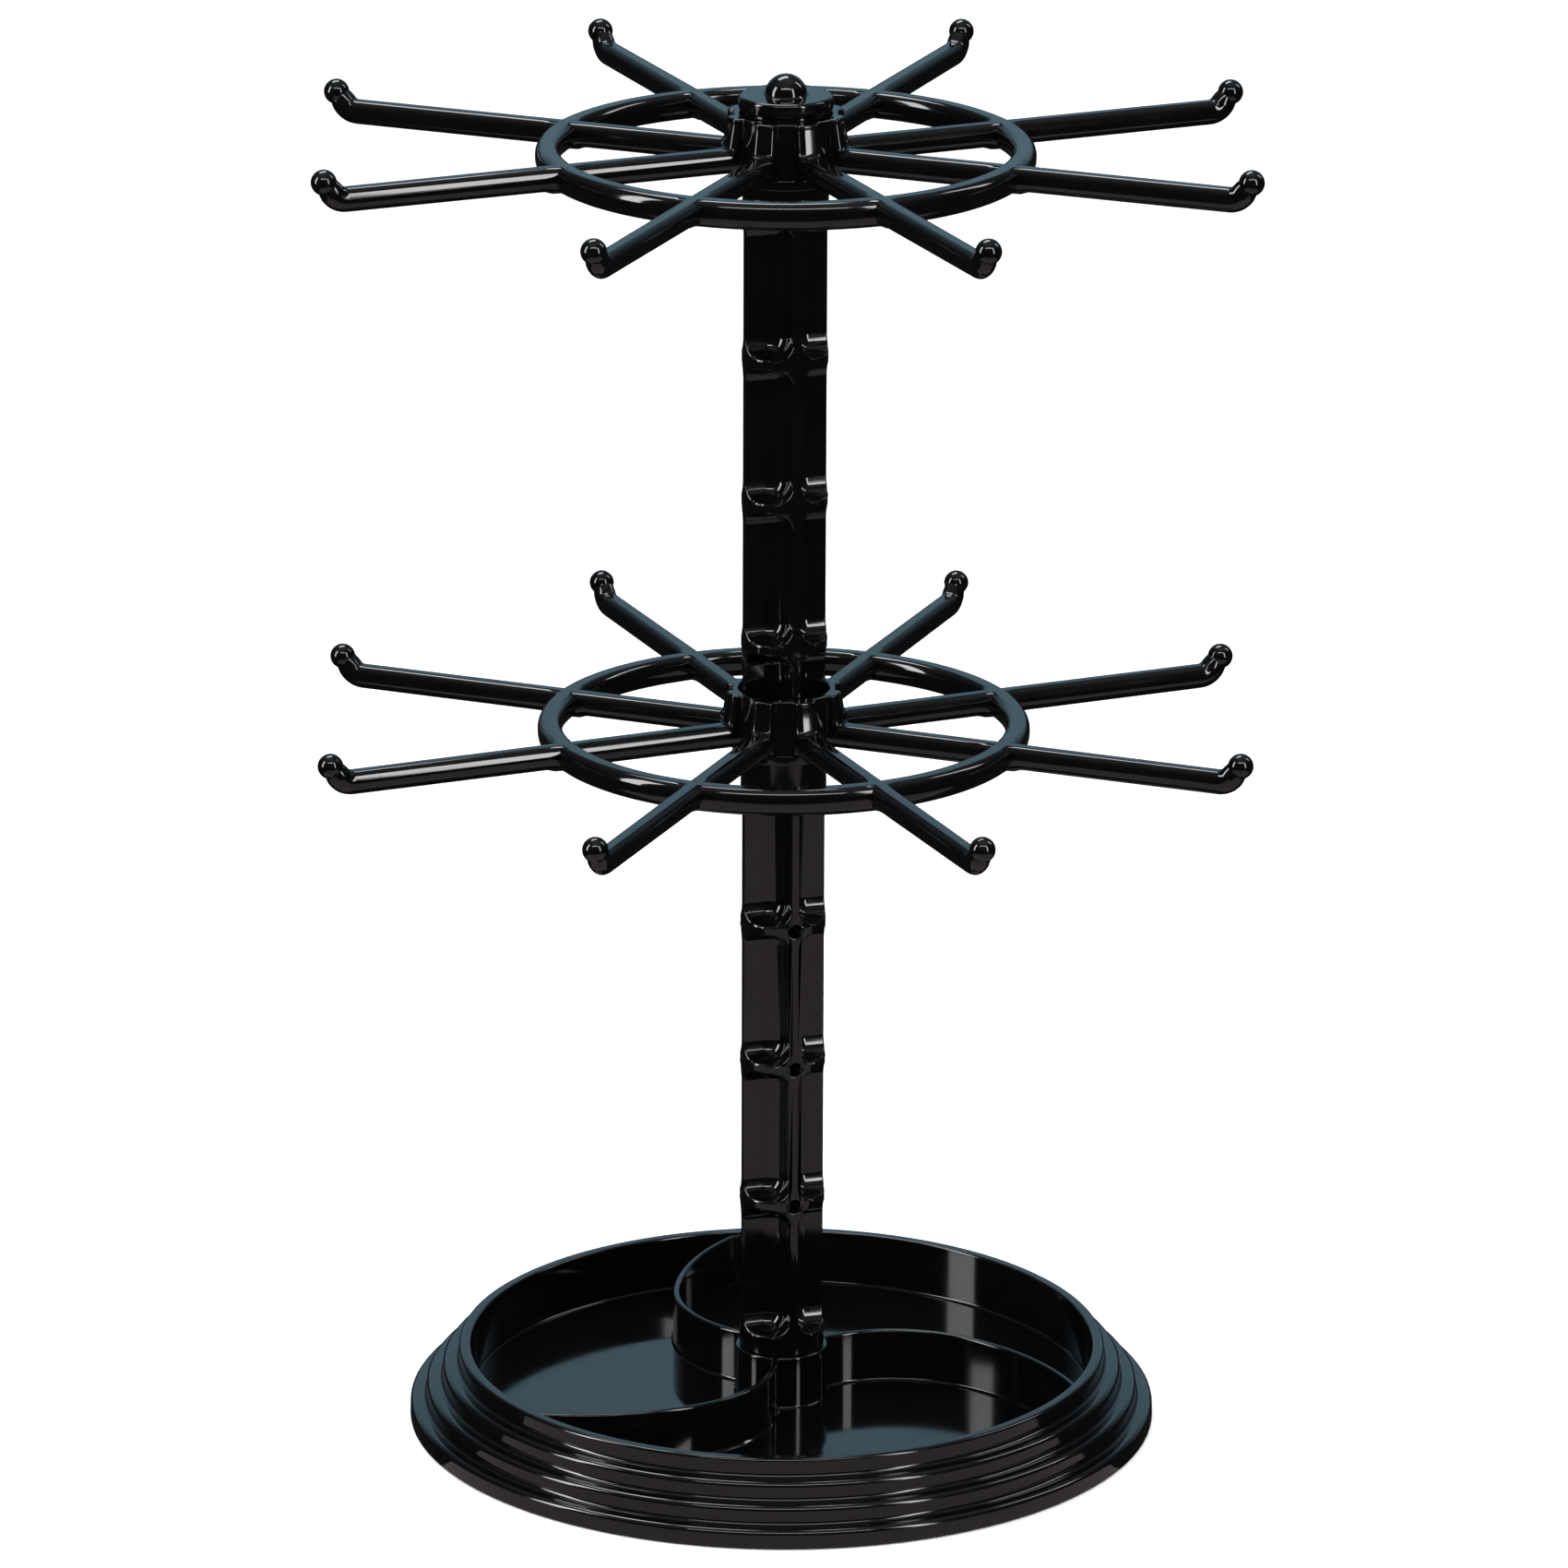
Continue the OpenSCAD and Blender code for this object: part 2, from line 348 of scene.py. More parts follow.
@dataclass(frozen=True)
class GlossAbs:
    """Polished black ABS: near-black, mirror-like, with the skin of a moulding.

    Attributes:
        name: The finish's name.
        tone: Base colour.
        gloss: Roughness of the clean skin.
        smear: How far roughness rises in the handled areas.
        ripple: Height of the slow waves in the skin, in metres.
        grain: Height of the fine grain, in metres.
        scuff_height: Below this height the foot is dulled by standing, in metres.
        scuff: How far roughness rises at the very foot.
        speckle: How far roughness rises in the finest specks.
        handled_waves: Waves per metre of the handled areas.
        speckle_waves: Waves per metre of the specks.
        fleck_waves: Waves per metre of the foot's scuffs.
        mottle_waves: Waves per metre of the colour.
        ripple_waves: Waves per metre of the skin's ripple.
        grain_waves: Waves per metre of the grain.
    """

    name: str
    tone: Colour = (0.0013, 0.0013, 0.0015)
    gloss: float = 0.055
    smear: float = 0.05
    ripple: float = 6e-6
    grain: float = 3e-7
    scuff_height: float = 0.0
    scuff: float = 0.55
    speckle: float = 0.02
    handled_waves: float = 34.0
    speckle_waves: float = 2600.0
    fleck_waves: float = 900.0
    mottle_waves: float = 60.0
    ripple_waves: float = 95.0
    grain_waves: float = 3200.0

    def make(self) -> bpy.types.Material:
        """Builds the node material.

        Returns:
            The material.
        """
        material = bpy.data.materials.new(self.name)
        material.use_nodes = True
        tree = material.node_tree
        shader = tree.nodes["Principled BSDF"]
        shader.inputs["IOR"].default_value = 1.52
        shader.inputs["Coat Weight"].default_value = 0.0
        place = tree.nodes.new("ShaderNodeTexCoord")

        def noise(scale: float, detail: float) -> bpy.types.NodeSocket:
            """A noise of so many waves per metre, as its factor socket."""
            node = tree.nodes.new("ShaderNodeTexNoise")
            node.inputs["Scale"].default_value = scale
            node.inputs["Detail"].default_value = detail
            tree.links.new(place.outputs["Object"], node.inputs["Vector"])
            return node.outputs["Factor"] if "Factor" in node.outputs else node.outputs["Fac"]

        def ranged(source: bpy.types.NodeSocket, old: Point, new: Point) -> bpy.types.NodeSocket:
            """A socket's value, with the ends of its old range moved to new ones."""
            node = tree.nodes.new("ShaderNodeMapRange")
            for key, value in zip(("From Min", "From Max", "To Min", "To Max"), (*old, *new)):
                node.inputs[key].default_value = value
            tree.links.new(source, node.inputs["Value"])
            return node.outputs["Result"]

        def joined(sign: str, *sockets: bpy.types.NodeSocket) -> bpy.types.NodeSocket:
            """Two sockets added or multiplied together."""
            node = tree.nodes.new("ShaderNodeMath")
            node.operation = sign
            for socket, entry in zip(sockets, node.inputs):
                tree.links.new(socket, entry)
            return node.outputs[0]

        handled = noise(self.handled_waves, 3.0)
        roughness = ranged(handled, (0.42, 0.72), (self.gloss, self.gloss + self.smear))
        specks = ranged(noise(self.speckle_waves, 2.0), (0.3, 0.7), (0.0, self.speckle))
        roughness = joined("ADD", roughness, specks)
        if self.scuff_height > 0:
            split = tree.nodes.new("ShaderNodeSeparateXYZ")
            tree.links.new(place.outputs["Object"], split.inputs["Vector"])
            edge = ranged(split.outputs["Z"], (0.0, self.scuff_height), (self.scuff, 0.0))
            flecks = ranged(noise(self.fleck_waves, 4.0), (0.5, 0.62), (0.0, 1.0))
            roughness = joined("ADD", roughness, joined("MULTIPLY", edge, flecks))
        tree.links.new(roughness, shader.inputs["Roughness"])

        tint = tree.nodes.new("ShaderNodeValToRGB")
        dark = tuple(0.7 * value for value in self.tone)
        light = tuple(1.5 * value for value in self.tone)
        tint.color_ramp.elements[0].color = (*dark, 1.0)
        tint.color_ramp.elements[1].color = (*light, 1.0)
        tree.links.new(noise(self.mottle_waves, 4.0), tint.inputs["Fac"])
        tree.links.new(tint.outputs["Color"], shader.inputs["Base Color"])

        slow = tree.nodes.new("ShaderNodeBump")
        slow.inputs["Distance"].default_value = self.ripple
        tree.links.new(noise(self.ripple_waves, 1.0), slow.inputs["Height"])
        fine = tree.nodes.new("ShaderNodeBump")
        fine.inputs["Distance"].default_value = self.grain
        tree.links.new(noise(self.grain_waves, 2.0), fine.inputs["Height"])
        tree.links.new(slow.outputs["Normal"], fine.inputs["Normal"])
        tree.links.new(fine.outputs["Normal"], shader.inputs["Normal"])
        return material


@dataclass(frozen=True)
class ZincSteel:
    """Bright zinc-plated steel with a faint spangle.

    Attributes:
        name: The finish's name.
        tone: Base colour.
        gloss: Roughness of the plating.
        dull: How far roughness rises across a spangle.
        spangles: Spangles per metre.
        relief: Height of the spangles, in metres.
    """

    name: str = "zinc_plate"
    tone: Colour = (0.62, 0.63, 0.65)
    gloss: float = 0.24
    dull: float = 0.18
    spangles: float = 900.0
    relief: float = 4e-6

    def make(self) -> bpy.types.Material:
        """Builds the node material.

        Returns:
            The material.
        """
        material = bpy.data.materials.new(self.name)
        material.use_nodes = True
        tree = material.node_tree
        shader = tree.nodes["Principled BSDF"]
        shader.inputs["Metallic"].default_value = 1.0
        place = tree.nodes.new("ShaderNodeTexCoord")
        spangle = tree.nodes.new("ShaderNodeTexVoronoi")
        spangle.inputs["Scale"].default_value = self.spangles
        tree.links.new(place.outputs["Object"], spangle.inputs["Vector"])
        tint = tree.nodes.new("ShaderNodeValToRGB")
        tint.color_ramp.elements[0].color = (*(0.85 * value for value in self.tone), 1.0)
        tint.color_ramp.elements[1].color = (*(1.1 * value for value in self.tone), 1.0)
        tree.links.new(spangle.outputs["Distance"], tint.inputs["Fac"])
        tree.links.new(tint.outputs["Color"], shader.inputs["Base Color"])
        spread = tree.nodes.new("ShaderNodeMapRange")
        spread.inputs["To Min"].default_value = self.gloss
        spread.inputs["To Max"].default_value = self.gloss + self.dull
        tree.links.new(spangle.outputs["Distance"], spread.inputs["Value"])
        tree.links.new(spread.outputs["Result"], shader.inputs["Roughness"])
        bump = tree.nodes.new("ShaderNodeBump")
        bump.inputs["Distance"].default_value = self.relief
        tree.links.new(spangle.outputs["Distance"], bump.inputs["Height"])
        tree.links.new(bump.outputs["Normal"], shader.inputs["Normal"])
        return material


def dress(
    piece: bpy.types.Object,
    material: bpy.types.Material,
    body: Body,
    nodes: Sequence[str],
) -> None:
    """Gives a finished piece its material, its body and the nodes it stands for.

    Args:
        piece: The finished mesh.
        material: Its finish.
        body: The body that it rides on.
        nodes: The frame's nodes that it replaces.
    """
    piece.data.materials.clear()
    piece.data.materials.append(material)
    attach(piece, body.value)
    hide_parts(*nodes)
    LOG.info("%s: %d faces, rides on %s", piece.name, len(piece.data.polygons), body.value)


# --------------------------------------------------------------------- base


@dataclass
class TrayBase:
    """The stepped base with its sunk tray, column socket and swirl dividers.

    Sizes are in millimetres.
    """

    radius: float = 95.0
    height: float = 18.9
    steps: int = 4
    step_run: float = 4.15
    rim_width: float = 3.2
    draft: float = 0.12
    step_round: float = 1.3
    rim_round: float = 0.8
    foot_round: float = 1.1
    wall: float = 2.2
    floor_z: float = 4.7
    socket_radius: float = 11.8
    bore_radius: float = 8.05
    web_z: float = 5.8
    web_t: float = 2.2
    screw_hole: float = 2.05
    divider_count: int = 3
    divider_t: float = 1.8
    divider_z: float = 18.2
    start_radius: float = 9.8
    start_angle: float = 20.0
    heading: float = 35.0
    inner_bend: float = 34.5
    inner_sweep: float = 68.0
    inner_steps: int = 34
    outer_bend: float = 67.0
    outer_steps: int = 26
    end_radius: float = 80.0
    segments: int = 192

    def profile(self) -> list[Point]:
        """The closed half-section of the moulding.

        Returns:
            Radius and height of each point, in metres.
        """
        rise = self.height / self.steps
        tray = self.radius - (self.steps - 1) * self.step_run - self.rim_width
        corners: list[Corner] = [(self.radius, 0.0, 0.35)]
        last = self.steps - 1
        for step in range(self.steps):
            outer = self.radius - step * self.step_run
            top = (step + 1) * rise
            corners.append((outer - self.draft, top, self.step_round if step < last else self.rim_round))
            if step < last:
                corners.append((outer - self.step_run, top, self.foot_round))
        corners += [
            (tray + 0.05, self.height, 0.55),
            (tray, self.floor_z, 0.7),
            (self.socket_radius, self.floor_z, 0.5),
            (self.socket_radius - 0.05, self.divider_z, 0.55),
            (self.bore_radius, self.divider_z, 0.35),
            (self.bore_radius, self.web_z + self.web_t, 0.2),
            (self.screw_hole, self.web_z + self.web_t, 0.2),
            (self.screw_hole, self.web_z, 0.2),
            (self.bore_radius - 0.05, self.web_z, 0.3),
            (self.bore_radius - 0.05, self.floor_z - self.wall, 0.3),
            (tray + self.wall, self.floor_z - self.wall, 0.4),
        ]
        for step in range(last, 0, -1):
            under = step * rise - self.wall
            inner = tray + self.wall if step == last else self.inner_radius(step)
            corners.append((inner, under, 0.3))
            corners.append((self.inner_radius(step - 1), under, 0.3))
        corners.append((self.radius - self.wall, 0.0, 0.35))
        return rounded(corners)

    def inner_radius(self, step: int) -> float:
        """Radius of the skirt's inner wall under a step, in millimetres."""
        return self.radius - step * self.step_run - self.wall

    def divider(self) -> bpy.types.Object:
        """One swirl divider: a rounded strip swept round its two bends.

        Returns:
            The closed strip, for the first divider's place.
        """
        half = self.divider_t / 2
        foot = self.floor_z - 0.9
        section = rounded([
            (half + 0.5, foot, 0.0),
            (half + 0.5, self.floor_z - 0.05, 0.0),
            (half, self.floor_z + 0.5, 0.6),
            (half - 0.06, self.divider_z, 0.62),
            (-half + 0.06, self.divider_z, 0.62),
            (-half, self.floor_z + 0.5, 0.6),
            (-half - 0.5, self.floor_z - 0.05, 0.0),
            (-half - 0.5, foot, 0.0),
        ])
        angle = math.radians(self.start_angle)
        heading = math.radians(self.heading)
        start = Vector((math.cos(angle), math.sin(angle), 0.0)) * self.start_radius * MM
        across = Vector((-math.sin(heading), math.cos(heading), 0.0))
        strip = trace("divider", [start + across * x + Vector((0.0, 0.0, z)) for x, z in section])
        with editing(strip):
            bpy.ops.mesh.select_all(action="SELECT")
            bpy.ops.mesh.edge_face_add()
            bend = start - across * self.inner_bend * MM
            sweep = math.radians(self.inner_sweep)
            swing(self.inner_steps, -sweep, bend, UP)
            turn = Matrix.Rotation(-sweep, 3, "Z")
            end = bend + turn @ (start - bend)
            across = turn @ across
            bend = end - across * self.outer_bend * MM
            swing(self.outer_steps, -self.last_sweep(end, bend), bend, UP)
            close_seams()
        return strip

    def last_sweep(self, start: Vector, bend: Vector) -> float:
        """How far the outer bend turns before it is well inside the rim.

        Args:
            start: Where the outer bend starts.
            bend: Its centre.

        Returns:
            The angle, in radians.
        """
        sweep = 0.0
        step = math.radians(0.1)
        while sweep < math.pi / 2:
            point = bend + Matrix.Rotation(-sweep, 3, "Z") @ (start - bend)
            if point.length > self.end_radius * MM:
                break
            sweep += step
        return sweep

    def build(self) -> bpy.types.Object:
        """Models the base as one moulding.

        Returns:
            The finished base.
        """
        base = turned("tray_base", self.profile(), self.segments)
        combine(base, copies(self.divider(), around(self.divider_count)), "UNION")
        smooth(base)
        return base


# ------------------------------------------------------------------- column


@dataclass
class ColumnSection:
    """One finned section of the column, turned, then cut away between its fins.

    Sizes are in millimetres.

    Attributes:
        name: The piece's name.
        corners: Corners of the turned blank's half-section.
        cells: Bottom and top of each row of pockets.
        hole_heights: Heights of the cross holes.
    """

    name: str
    corners: list[Corner]
    cells: list[Point]
    hole_heights: list[float] = field(default_factory=list)
    fin_t: float = 2.2
    fin_radius: float = 10.7
    fins: int = 4
    pocket_reach: float = 4.0
    pocket_round: float = 4.6
    fin_turn: float = -72.0
    hole_radius: float = 1.7
    hole_depth: float = 6.0
    hole_spare: float = 2.0
    edge: float = 0.42
    sharp: float = 50.0
    segments: int = 96

    def pocket(self, low: float, high: float) -> bpy.types.Object:
        """The solid that is cut away between two fins and two discs.

        Args:
            low: Its floor.
            high: Its ceiling.

        Returns:
            The cutter, in the first quarter.
        """
        inner = self.fin_t / 2 * MM
        outer = (self.fin_radius + self.pocket_reach) * MM
        clear_selection()
        bpy.ops.mesh.primitive_cube_add(
            size=1.0,
            location=((inner + outer) / 2, (inner + outer) / 2, (low + high) / 2 * MM),
            scale=(outer - inner, outer - inner, (high - low) * MM),
        )
        cutter = bpy.context.object
        settle(cutter)

        def is_inner(edge: bmesh.types.BMEdge) -> bool:
            """Whether an edge lies on the fins' side of the cutter."""
            ends = [vert.co for vert in edge.verts]
            on_x = all(abs(co.x - inner) < 1e-6 for co in ends)
            on_y = all(abs(co.y - inner) < 1e-6 for co in ends)
            return on_x or on_y

        with editing(cutter):
            pick(cutter, Part.EDGE, is_inner)
            bpy.ops.mesh.bevel(offset=self.pocket_round * MM, segments=10, clamp_overlap=False)
        return cutter

    def cross_hole(self) -> bpy.types.Object:
        """The blind hole's cutter, pointing along the first fin."""
        clear_selection()
        bpy.ops.mesh.primitive_cylinder_add(
            vertices=32,
            radius=self.hole_radius * MM,
            depth=(self.hole_depth + self.hole_spare) * MM,
            location=((self.fin_radius - self.hole_depth / 2 + self.hole_spare / 2) * MM, 0.0, 0.0),
            rotation=(0.0, math.pi / 2, 0.0),
        )
        cutter = bpy.context.object
        settle(cutter)
        return cutter

    def build(self) -> bpy.types.Object:
        """Turns the blank, cuts its pockets and holes, and rounds their edges.

        Returns:
            The finished section.
        """
        column = turned(self.name, rounded(self.corners, 3), self.segments)
        for low, high in self.cells:
            combine(column, copies(self.pocket(low, high), around(self.fins)), "DIFFERENCE")
        if self.hole_heights:
            places = [
                Matrix.Translation((0.0, 0.0, height * MM)) @ Matrix.Rotation(turn, 4, "Z")
                for height in self.hole_heights
                for turn in (0.0, math.pi)
            ]
            combine(column, copies(self.cross_hole(), places), "DIFFERENCE")
        with editing(column):
            bpy.ops.mesh.select_all(action="SELECT")
            bpy.ops.mesh.remove_doubles(threshold=SLIVER)
            bpy.ops.mesh.select_all(action="DESELECT")
            bpy.ops.mesh.select_mode(type="EDGE")
            bpy.ops.mesh.edges_select_sharp(sharpness=math.radians(self.sharp))
            bpy.ops.mesh.bevel(offset=self.edge * MM, segments=3, clamp_overlap=False)
            bpy.ops.mesh.select_all(action="SELECT")
            bpy.ops.mesh.remove_doubles(threshold=NICK)
            bpy.ops.mesh.normals_make_consistent(inside=False)
        column.rotation_euler.z = math.radians(self.fin_turn)
        settle(column)
        smooth(column)
        return column


def disc_rim(middle: float, fin: float = 10.7, disc: float = 10.8) -> list[Corner]:
    """Corners of a node disc's rim on the column's blank, from the bottom up.

    Args:
        middle: The disc's height.
        fin: Radius of the fins.
        disc: Radius of the disc.

    Returns:
        The corners, in millimetres.
    """
    return [
        (fin, middle - 1.3, 0.1),
        (disc, middle - 1.15, 0.1),
        (disc, middle + 1.15, 0.1),
        (fin, middle + 1.3, 0.1),
    ]


@dataclass
class Column:
    """The column's two sections, stacked at the middle wheel's seat.

    Sizes are in millimetres.
    """

    pitch: float = 36.8
    first_node: float = 21.9
    disc_half: float = 1.2
    foot_z: float = 18.2
    foot_top: float = 23.4
    joint_z: float = 179.5
    top_joint_z: float = 327.2
    cap_z: float = 342.3
    flange: float = 12.9
    flange_t: float = 2.8
    disc: float = 10.8
    fin: float = 10.7
    stem: float = 8.0
    stem_z: float = 8.0
    pilot: float = 2.05
    pilot_top: float = 20.0
    bore: float = 5.05
    bore_depth: float = 10.5
    spigot: float = 5.0
    spigot_len: float = 10.0
    plug_bore: float = 4.05
    plug_depth: float = 9.5

    def node(self, index: int) -> float:
        """Height of a node disc."""
        return self.first_node + index * self.pitch

    def cells(self, first: int, last: int) -> list[Point]:
        """Bottom and top of each row of pockets from one node up to another."""
        return [
            (self.node(index) + self.disc_half, self.node(index + 1) - self.disc_half)
            for index in range(first, last)
        ]

    def lower(self) -> ColumnSection:
        """The lower section, with its stem, foot and cross holes."""
        corners: list[Corner] = [
            (self.pilot, self.stem_z, 0.2), (self.stem, self.stem_z, 0.4), (self.stem, self.foot_z, 0.0),
            (self.disc, self.foot_z, 0.5), (self.disc, self.foot_top, 0.1),
            (self.fin, self.foot_top + 0.15, 0.1),
        ]
        for index in (1, 2, 3):
            corners += disc_rim(self.node(index))
        corners += self.seat(self.node(4), self.joint_z)
        corners += [
            (self.bore, self.joint_z, 0.3), (self.bore, self.joint_z - self.bore_depth, 0.3),
            (0.6, self.joint_z - self.bore_depth, 0.0), (0.6, self.pilot_top, 0.0),
            (self.pilot, self.pilot_top, 0.2),
        ]
        cells = [(self.foot_top, self.node(1) - self.disc_half), *self.cells(1, 4)]
        return ColumnSection("column_lower_visual", corners, cells, [self.node(index) for index in (1, 2, 3)])

    def upper(self) -> ColumnSection:
        """The upper section, with its spigot and the top wheel's journal."""
        foot = self.joint_z + 2.4
        corners: list[Corner] = [
            (1.0, self.joint_z - self.spigot_len, 0.0), (self.spigot, self.joint_z - self.spigot_len, 0.5),
            (self.spigot, self.joint_z, 0.0), (self.disc, self.joint_z, 0.4),
            (self.disc, foot, 0.1), (self.fin, foot + 0.15, 0.1),
        ]
        for index in (5, 6, 7):
            corners += disc_rim(self.node(index))
        corners += self.seat(self.node(8), self.top_joint_z)
        corners += [
            (self.disc, self.top_joint_z, 0.3), (self.disc, self.cap_z, 0.4),
            (self.plug_bore, self.cap_z, 0.3), (self.plug_bore, self.cap_z - self.plug_depth, 0.3),
            (1.0, self.cap_z - self.plug_depth, 0.0),
        ]
        cells = [(foot, self.node(5) - self.disc_half), *self.cells(5, 8)]
        return ColumnSection("column_upper_visual", corners, cells)

    def seat(self, node: float, top: float) -> list[Corner]:
        """Corners of the last disc, the neck and the flange that a hub sits on.

        Args:
            node: Height of the last disc.
            top: The flange's top face.

        Returns:
            The corners, in millimetres.
        """
        return disc_rim(node) + [
            (self.fin, top - self.flange_t, 0.4),
            (self.flange, top - self.flange_t, 0.4),
            (self.flange, top, 0.4),
        ]


# ------------------------------------------------------------------- wheels


@dataclass
class Wheel:
    """One wheel: hub, ring and hooked arms in a single moulding.

    Sizes are in millimetres, with the wheel's underside at height 0 and its first
    arm along X until it is placed.

    Attributes:
        name: The piece's name.
        bottom_z: Height of the underside.
        turn: Direction of the first arm.
    """

    name: str
    bottom_z: float
    turn: float
    arms: int = 8
    arm_h: float = 6.2
    half_w: float = 2.9
    root_half_w: float = 3.0
    tip_half_w: float = 2.72
    edge: float = 0.5
    top_round: float = 2.0
    top_drop: float = 2.7
    ring_outer: float = 61.7
    ring_inner: float = 55.5
    ring_drop: float = 0.8
    ring_chords: int = 11
    lead: float = 2.4
    spare: float = 4.0
    inner_x: float = 9.0
    root_x: float = 12.3
    roll_angle: float = 84.0
    roll_limit: float = 2.55
    roll_steps: int = 8
    corner: float = 1.3
    bore: float = 11.4
    hub_radius: float = 13.0
    hub_h: float = 14.0
    tooth_top: float = 14.9
    tooth_foot: float = 15.8
    bend_x: float = 115.39
    bend_radius: float = 4.6
    hook_rise: float = 57.0
    hook_len: float = 3.4
    ball_radius: float = 3.2

    def spread(self, sector: bpy.types.Object) -> bpy.types.Object:
        """Copies a flat sector round the axis and joins the copies' edges."""
        wheel = copies(sector, around(self.arms))
        with editing(wheel):
            close_seams()
        return wheel

    def sector_arc(self, radius: float, half_w: float, height: float, coarse: int) -> bpy.types.Object:
        """An arc one sector long, with points where an arm's two sides cross it.

        Args:
            radius: The arc's radius.
            half_w: Half the arm's width.
            height: The arc's height.
            coarse: Chords on each side of the arm.

        Returns:
            The arc.
        """
        side = math.asin(half_w / radius)
        sector = math.pi / self.arms
        start = Matrix.Rotation(-sector, 3, "Z") @ Vector((radius * MM, 0.0, height * MM))
        arc = trace("sector", [start], closed=False)
        with editing(arc):
            bpy.ops.mesh.select_all(action="SELECT")
            for steps, angle in ((coarse, sector - side), (2, 2 * side), (coarse, sector - side)):
                swing(steps, angle, ORIGIN, UP)
        return arc

    def pull(
        self, arc: bpy.types.Object, at_x: float, to_x: float, half_w: float, level: bool = False
    ) -> None:
        """Draws an arm on from its free edge.

        Args:
            arc: The sector in edit mode.
            at_x: Where the free edge is now.
            to_x: Where it goes.
            half_w: Half the arm's width there.
            level: Whether the free edge is still part of an arc.
        """
        margin = 0.6 if level else 0.01

        def is_free(edge: bmesh.types.BMEdge) -> bool:
            """Whether an edge is the arm's free end."""
            ends = [vert.co / MM for vert in edge.verts]
            return (
                edge.is_boundary
                and all(abs(co.x - at_x) < margin for co in ends)
                and all(abs(co.y) < 3.3 for co in ends)
            )

        pick(arc, Part.EDGE, is_free)
        bpy.ops.mesh.extrude_edges_move(TRANSFORM_OT_translate={"value": ((to_x - at_x) * MM, 0.0, 0.0)})
        mesh = bmesh.from_edit_mesh(arc.data)
        chosen = [vert for vert in mesh.verts if vert.select]
        wide = max(vert.co.y for vert in chosen)
        centre = (to_x * MM, 0.0, chosen[0].co.z)
        bpy.ops.transform.resize(value=(0.0, half_w * MM / wide, 1.0), center_override=centre)

    def web(self) -> bpy.types.Object:
        """The ring and the arms: a flat plan, thickened and rolled round underneath.

        Returns:
            The closed solid, with each arm's outer end cut flat.
        """
        low = self.arm_h - self.top_drop
        sector = self.sector_arc(self.ring_outer, self.half_w, low, self.ring_chords)
        with editing(sector):
            bpy.ops.mesh.select_all(action="SELECT")
            scale = self.ring_inner / self.ring_outer
            bpy.ops.mesh.extrude_edges_move()
            bpy.ops.transform.resize(value=(scale, scale, 1.0), center_override=ORIGIN)
            inner_y = self.half_w * scale * MM
            limit = (self.ring_inner + 0.5) * MM
            pick(sector, Part.VERT, lambda v: v.co.x < limit and abs(abs(v.co.y) - inner_y) < 1e-6)
            bpy.ops.transform.resize(
                value=(1.0, self.half_w * MM / inner_y, 1.0),
                center_override=(self.ring_inner * MM, 0.0, low * MM),
            )
            self.pull(sector, self.ring_outer, self.ring_outer + self.lead, self.half_w, level=True)
            self.pull(sector, self.ring_outer + self.lead, self.bend_x + self.spare, self.tip_half_w)
            self.pull(sector, self.ring_inner, self.ring_inner - self.lead, self.half_w, level=True)
            self.pull(sector, self.ring_inner - self.lead, self.inner_x, self.root_half_w)
        wheel = self.spread(sector)
        with editing(wheel):
            bpy.ops.mesh.select_all(action="SELECT")
            extrude_by((0.0, 0.0, (self.half_w - low) * MM))
            close_seams()
            pick(wheel, Part.EDGE, self.is_crotch)
            bpy.ops.mesh.bevel(offset=self.corner * MM, segments=5, clamp_overlap=False)
            pick(wheel, Part.VERT, self.is_stray)
            bpy.ops.mesh.dissolve_verts()
            self.roll_underside(wheel)
            self.soften_top(wheel, low, self.top_round, self.top_drop)
            close_seams()
            self.drop_ring(wheel)
            self.cut_ends(wheel)
        return wheel

    def off_centre(self, spot: Vector) -> float:
        """A place's angle from the nearest arm's centreline, in radians."""
        sector = math.tau / self.arms
        angle = math.atan2(spot.y, spot.x) % sector
        return min(angle, sector - angle)

    def is_crotch(self, edge: bmesh.types.BMEdge) -> bool:
        """Whether an upright edge lies in the corner between an arm and the ring."""
        first, second = (vert.co for vert in edge.verts)
        if abs(first.z - second.z) < MM:
            return False
        radius = axis_distance(first)
        if not (self.ring_inner - 0.5 < radius < self.ring_outer + 0.5):
            return False
        return abs(self.off_centre(first) * radius - self.half_w) < 0.1

    def is_stray(self, vert: bmesh.types.BMVert) -> bool:
        """Whether a vertex lies inside the flat plan, away from an arm's centreline."""
        if any(abs(face.normal.z) < 0.9 for face in vert.link_faces):
            return False
        return math.sin(self.off_centre(vert.co)) * math.hypot(vert.co.x, vert.co.y) > 0.5 * MM

    def roll_underside(self, wheel: bpy.types.Object) -> None:
        """Insets the edited wheel's bottom faces step by step along a half circle."""
        pick(wheel, Part.FACE, lambda f: f.normal.z < -0.9)
        last_in = 0.0
        last_down = 0.0
        for step in range(1, self.roll_steps + 1):
            angle = math.radians(self.roll_angle) * step / self.roll_steps
            inward = min(self.half_w * (1 - math.cos(angle)), self.roll_limit)
            down = self.half_w * math.sin(angle)
            bpy.ops.mesh.inset(
                thickness=(inward - last_in) * MM,
                depth=(down - last_down) * MM,
                use_even_offset=True,
                use_boundary=True,
            )
            last_in = inward
            last_down = down

